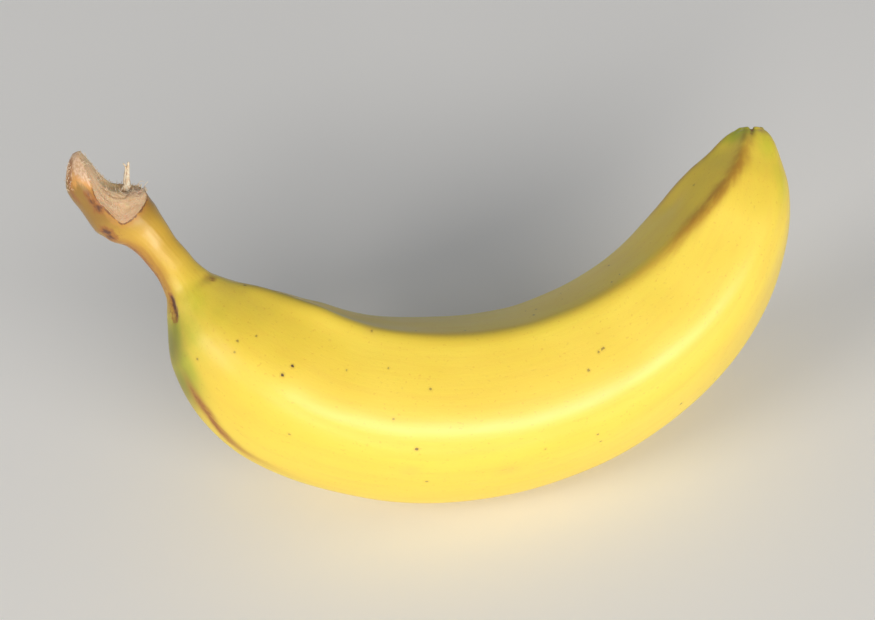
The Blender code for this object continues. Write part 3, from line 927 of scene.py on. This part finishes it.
def write_attributes(mesh):
    """Places and tints that the materials read."""
    points = points_of(mesh)
    distance, inwards, sideways = straightened(points)
    from_centre = inwards - offset_at(distance)
    angle = np.arctan2(sideways, from_centre)
    radius = np.hypot(sideways, from_centre)
    write_attribute(mesh, "straight", joined(inwards, sideways, distance))
    write_attribute(mesh, "rim", rim_distance(mesh, points))
    for name, patches, lines in (
        ("green", GREEN_PATCHES, ()),
        ("olive_painted_shade", OLIVE_PAINTED_SHADE_PATCHES, OLIVE_PAINTED_SHADE_LINES),
        ("brown_and_cleft_shade", BROWN_AND_CLEFT_SHADE_PATCHES, BROWN_LINES),
        ("tan", TAN_PATCHES, ()),
        ("ridge", (), RIDGE_LINES),
    ):
        tints = [patch(distance, angle, radius, where) for where in patches]
        tints += [stripe(distance, angle, radius, *line) for line in lines]
        write_attribute(mesh, name, np.max(tints, axis=0))
    places = joined(distance, inwards, sideways)
    # Distance from the fold's crease, for painted shade along it
    write_attribute(mesh, "fold_painted_shade", distance_to_path(places, FOLD_PATH))
    for name, centre, reach, strength in TEAR_TINTS:
        write_attribute(mesh, name, strength * nearness(places, centre, reach))
    limit = smooth_through(BARED, np.degrees(angle) % 360)
    write_attribute(mesh, "bared", (limit - distance) / BARED_BLEND)
    last = ROWS[-1][1]
    share = radius / (mean_radius(last) * section(angle, last))
    dark = np.where(distance > last - BLOSSOM_REACH, np.clip(BLOSSOM_FADE - share, 0, 1), 0.0)
    write_attribute(mesh, "blossom", dark)
    write_marks(mesh, points, distance, angle, radius)


def fill(tree, node, inputs):
    """Sets or links a node's inputs, by name or number."""
    for name, value in inputs.items():
        if isinstance(value, bpy.types.NodeSocket):
            tree.links.new(value, node.inputs[name])
        else:
            node.inputs[name].default_value = value


def add(tree, kind, inputs=None, **settings):
    """A node with its inputs and its settings."""
    node = tree.nodes.new(kind)
    for name, value in settings.items():
        setattr(node, name, value)
    fill(tree, node, inputs or {})
    return node


def read(tree, name, output="Fac"):
    return add(tree, "ShaderNodeAttribute", attribute_name=name).outputs[output]


def calc(tree, operation, first, second=0.0):
    return add(tree, "ShaderNodeMath", {0: first, 1: second}, operation=operation).outputs[0]


def spread(tree, value, low, high, to_low=0.0, to_high=1.0):
    """A smooth step of the value from low to high."""
    inputs = {"Value": value, "From Min": low, "From Max": high, "To Min": to_low, "To Max": to_high}
    return add(tree, "ShaderNodeMapRange", inputs, interpolation_type="SMOOTHSTEP").outputs[0]


def opaque(colour):
    """A colour as a node's input takes it, or the socket that gives it."""
    return colour if isinstance(colour, bpy.types.NodeSocket) else (*colour, 1.0)


def mixed(tree, share, first, second):
    """One colour over another."""
    inputs = {0: share, 6: opaque(first), 7: opaque(second)}
    return add(tree, "ShaderNodeMix", inputs, data_type="RGBA").outputs[2]


def scaled(tree, where, scale):
    return add(tree, "ShaderNodeMapping", {"Vector": where, "Scale": scale}).outputs[0]


def grain(tree, where, scale, detail, roughness=USUAL_ROUGHNESS, distortion=0.0):
    """Noise over places; the scale is in noise cells to the unit of the places, on each axis."""
    inputs = {
        "Vector": scaled(tree, where, scale),
        "Scale": 1.0,
        "Detail": detail,
        "Roughness": roughness,
        "Distortion": distortion,
    }
    return add(tree, "ShaderNodeTexNoise", inputs).outputs[0]


def named_values(tree, where, noises, plain, uneven):
    """Sockets by name: noises, attributes as they are, and attributes made uneven by a noise."""
    values = {name: grain(tree, where, *kind) for name, kind in noises.items()}
    values |= {name: read(tree, name) for name in plain}
    for name, way, by, *limits in uneven:
        values[name] = calc(tree, way, read(tree, name), spread(tree, values[by], *limits))
    return values


def painted(tree, values, colour, layers):
    """Layers of colour over a first one. A layer with an empty range follows the value itself."""
    for name, low, high, strength, tint, *bounds in layers:
        share = values[name]
        if low != high:
            share = spread(tree, share, low, high, 0.0, strength)
        for bound in bounds:
            share = calc(tree, "MULTIPLY", share, values[bound])
        colour = mixed(tree, share, colour, values.get(tint, tint))
    return colour


def bumpy(tree, values, shares, strength, distance):
    """A bump from the values by name, each times its share, added up."""
    height = 0.0
    for name, share in shares:
        height = calc(tree, "ADD", height, calc(tree, "MULTIPLY", values[name], share))
    inputs = {"Strength": strength, "Distance": distance, "Height": height}
    return add(tree, "ShaderNodeBump", inputs).outputs[0]


def new_material(name, finish):
    material = bpy.data.materials.new(name)
    material.use_nodes = True
    surface = material.node_tree.nodes["Principled BSDF"]
    fill(material.node_tree, surface, finish)
    return material, material.node_tree, surface


def peel_material():
    """Ripe waxy peel: yellow with faint streaks, green at the ends, brown at ridges, scars and specks, and
    painted shade.
    """
    material, tree, surface = new_material("peel", PEEL_FINISH)
    where = read(tree, "straight", "Vector")
    values = named_values(tree, where, PEEL_NOISE, ("olive_painted_shade",), PEEL_UNEVEN)
    values["along"] = add(tree, "ShaderNodeSeparateXYZ", {0: where}).outputs[2]
    values["raw"] = mixed(tree, spread(tree, values["split"], *RAW_RANGE), *RAW_COLOURS)
    values["rind"] = spread(tree, values["bared"], *RIND_RANGE)

    mark = read(tree, "mark", "Vector")
    flat_mark = scaled(tree, mark, (1.0, 1.0, 0.0))
    reach = add(tree, "ShaderNodeVectorMath", {0: flat_mark}, operation="LENGTH").outputs["Value"]
    wobble = spread(tree, grain(tree, mark, *MARK_NOISE), *MARK_WOBBLE)
    by_a_speck = spread(tree, read(tree, "mark_gap"), *MARK_REACH)
    values["reach"] = calc(tree, "ADD", reach, wobble)
    values["darkness"] = calc(tree, "MULTIPLY", read(tree, "mark_darkness"), by_a_speck)
    values["dot"] = calc(tree, "MULTIPLY", spread(tree, values["reach"], *DOT_EDGE), values["darkness"])

    dry = 0.0
    for name, low, high in DRY_RANGES:
        dry = calc(tree, "MAXIMUM", dry, spread(tree, values[name], low, high))
    rough = spread(tree, values["shine"], *PEEL_ROUGHNESS)
    inputs = {
        "Base Color": painted(tree, values, PEEL_COLOUR, PEEL_LAYERS),
        "Roughness": calc(tree, "ADD", rough, calc(tree, "MULTIPLY", dry, DRY_ROUGHNESS)),
        "Normal": bumpy(tree, values, PEEL_RELIEF, *PEEL_BUMP),
    }
    fill(tree, surface, inputs)
    return material


def flesh_material():
    """Dry torn fibres: pinkish beige, streaked along the tear, browned at the rim, with painted light in the
    basin and painted shade along the fold.
    """
    material, tree, surface = new_material("torn_flesh", FLESH_FINISH)
    where = read(tree, "straight", "Vector")
    values = named_values(tree, where, FLESH_NOISE, ("basin_tone_and_painted_light", "lobe", "fold_painted_shade"), FLESH_UNEVEN)
    colour = painted(tree, values, FLESH_COLOUR, FLESH_LAYERS)
    fill(tree, surface, {"Base Color": colour, "Normal": bumpy(tree, values, FLESH_RELIEF, *FLESH_BUMP)})
    return material


def fibre_material():
    """Pale dry fibres with darker flecks and stains."""
    material, tree, surface = new_material("dry_fibre", FIBRE_FINISH)
    where = add(tree, "ShaderNodeTexCoord").outputs["Object"]
    values = named_values(tree, where, FIBRE_NOISE, (), ())
    fill(tree, surface, {"Base Color": painted(tree, values, FIBRE_COLOUR, FIBRE_LAYERS)})
    return material


def tube(shape, places, base_radius, end_radius, sides):
    """A tapered tube along a smooth line through the places, closed at both ends."""
    count = RINGS_PER_SPAN * (len(places) - 1) + 1
    line = resampled(places, count)
    ways = [unit(way) for way in np.gradient(line, axis=0)]
    angle = np.linspace(0, 2 * math.pi, sides, endpoint=False)[:, None]
    first = np.cross(ways[0], TUBE_START)
    rows = []
    for place, way, share in zip(line, ways, np.linspace(0, 1, count)):
        first = unit(first - way * np.dot(first, way))
        second = np.cross(way, first)
        radius = (base_radius + (end_radius - base_radius) * share) * MM
        uneven = 1 + sum(part * np.sin(turns * angle + twist * share) for part, turns, twist in TUBE_WAVES)
        rows.append(place + radius * uneven * (np.cos(angle) * first + np.sin(angle) * second))
    corners = sheet(shape, np.stack(rows), closed=True)
    fan(shape, corners[0], line[0])
    fan(shape, corners[-1], line[-1])


def hair(root, sunk, way, bend, length):
    """A short bent line that starts a little below its root."""
    return [root - sunk * MM, root + way * length * MM / 2, root + (way + bend) * length * MM]


def add_fuzz(shape, random):
    """Short curling hairs over the torn face, leaning the way the flesh tore."""
    count, lengths, radii, scatter, bend = FUZZ
    away, inwards, sideways = torn_face()
    face = placed(from_middle(away, inwards, sideways))
    from_centre = inwards - offset_at(away)
    rim = mean_radius(away) * section(np.arctan2(sideways, from_centre), away)
    inside = np.hypot(from_centre, sideways) < rim - FUZZ_INSET
    inside &= away > OUTLINE[0][0] + FUZZ_INSET
    inside[-1] = inside[0] = False
    roots = np.argwhere(inside)
    for row, column in roots[random.integers(0, len(roots), count)]:
        root = face[row, column]
        down = unit(face[row + 1, column] - face[row - 1, column])
        over = unit(np.cross(down, face[row, column - 1] - root))
        within = placed(from_middle(away[row, column] + FUZZ_WITHIN, 0.0, 0.0))
        over *= np.sign(np.dot(over, root - within))
        lean = FUZZ_LEAN * down * random.choice(FUZZ_WAYS) + FUZZ_RISE * over
        way = unit(lean + random.normal(0, scatter, 3))
        curl = over * random.uniform(0, FUZZ_CURL) + random.normal(0, bend, 3)
        route = hair(root, over * radii[0], way, curl, random.uniform(*lengths))
        if route[-1][2] < CAD_BOX[1][2]:
            tube(shape, route, *radii, HAIR_SIDES)


def add_slivers(shape, random, fruit):
    """Ragged slivers that stand from the edge of the torn face."""
    count, lengths, radii, scatter, bend = SLIVERS
    points = points_of(fruit.data)
    rim = np.array(rim_corners(fruit.data))
    distance, _, sideways = straightened(points[rim])
    ragged = (distance > SLIVER_START) & ((sideways < SLIVER_SIDE) | (distance < LEFT_RIM_END))
    for i in random.choice(rim[ragged], count, replace=False):
        normal = np.array(fruit.data.vertices[int(i)].normal)
        way = unit(normal + random.normal(0, scatter, 3))
        curl = random.normal(0, bend, 3)
        route = hair(points[i], way * SLIVER_SUNK, way, curl, random.uniform(*lengths))
        tube(shape, route, *radii, HAIR_SIDES)


def add_tufts(shape, random):
    """Pale bits of dry fibre on the outer side of the torn tongue."""
    count, lengths, radii, scatter, bend = TUFTS
    for _ in range(count):
        distance = np.full(1, random.uniform(*TUFT_REACH))
        angle = np.radians(np.full(1, random.uniform(*TUFT_SIDES)))
        root, middle = (placed(skin(distance, angle, part))[0] for part in (1.0, 0.0))
        way = unit(unit(root - middle) + random.normal(0, scatter, 3))
        length = random.uniform(*lengths)
        route = hair(root, way * radii[0], way, random.normal(0, bend, 3), length)
        tube(shape, route, *radii, HAIR_SIDES)


def make_fibres(fruit):
    """The fibres left standing on the torn end, with its fuzz, slivers and tufts."""
    shape = bmesh.new()
    for fibres, sides in ((STANDING_FIBRES, FIBRE_SIDES), (LONG_HAIRS, HAIR_SIDES)):
        for places, *radii in fibres:
            tube(shape, placed(from_middle(*np.array(places).T)), *radii, sides)
    random = np.random.default_rng(HAIR_SEED)
    add_fuzz(shape, random)
    add_slivers(shape, random, fruit)
    add_tufts(shape, random)
    return new_piece("stem_fibres", shape)


def make_skin():
    """The whole fine skin with its torn end and the materials on it."""
    fruit = make_whole_skin()
    fruit.data.materials.append(peel_material())
    tool = make_torn_off_part()
    tool.data.materials.append(flesh_material())
    cut_away(fruit, tool)
    keep_one_body(fruit)
    write_attributes(fruit.data)
    return fruit


def direction(azimuth, elevation):
    """A way given by degrees round from the front and degrees up."""
    turn = math.radians(azimuth)
    rise = math.radians(elevation)
    return Vector((math.sin(turn) * math.cos(rise), -math.cos(turn) * math.cos(rise), math.sin(rise)))


def make_floor():
    bpy.ops.mesh.primitive_plane_add(size=FLOOR_SIZE)
    floor = bpy.context.object
    floor.name = "floor"
    floor.data.materials.append(new_material("pale_floor", FLOOR_FINISH)[0])


def make_light():
    world = bpy.data.worlds.new("soft_sky")
    world.use_nodes = True
    fill(world.node_tree, world.node_tree.nodes["Background"], SKY)
    bpy.context.scene.world = world
    for name, azimuth, elevation, distance, width, height, power in LAMPS:
        data = bpy.data.lights.new(name, "AREA")
        data.shape = "ELLIPSE"
        data.size = width
        data.size_y = height
        data.energy = power
        data.color = LAMP_COLOUR
        lamp = new_object(name, data)
        way = direction(azimuth, elevation)
        lamp.location = Vector(CAMERA_AIM) + way * distance
        lamp.rotation_mode = "QUATERNION"
        lamp.rotation_quaternion = way.to_track_quat("Z", "Y")


def make_camera():
    data = bpy.data.cameras.new("camera")
    data.lens = CAMERA_LENS
    data.sensor_width = SENSOR_WIDTH
    camera = new_object("camera", data)
    back = direction(CAMERA_AZIMUTH, CAMERA_ELEVATION)
    turn = math.radians(CAMERA_AZIMUTH)
    level = Vector((math.cos(turn), math.sin(turn), 0))
    upright = back.cross(level)
    roll = math.radians(CAMERA_ROLL)
    right = level * math.cos(roll) + upright * math.sin(roll)
    up = upright * math.cos(roll) - level * math.sin(roll)
    camera.matrix_world = Matrix((right, up, back)).transposed().to_4x4()
    camera.location = Vector(CAMERA_AIM) + back * CAMERA_DISTANCE
    bpy.context.scene.camera = camera


fruit = make_skin()
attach(fruit, "root")
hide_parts("banana")

fibres = make_fibres(fruit)
fibres.data.materials.append(fibre_material())
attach(fibres, "root")

make_floor()
make_light()
make_camera()
bpy.context.scene.view_settings.view_transform = "Standard"
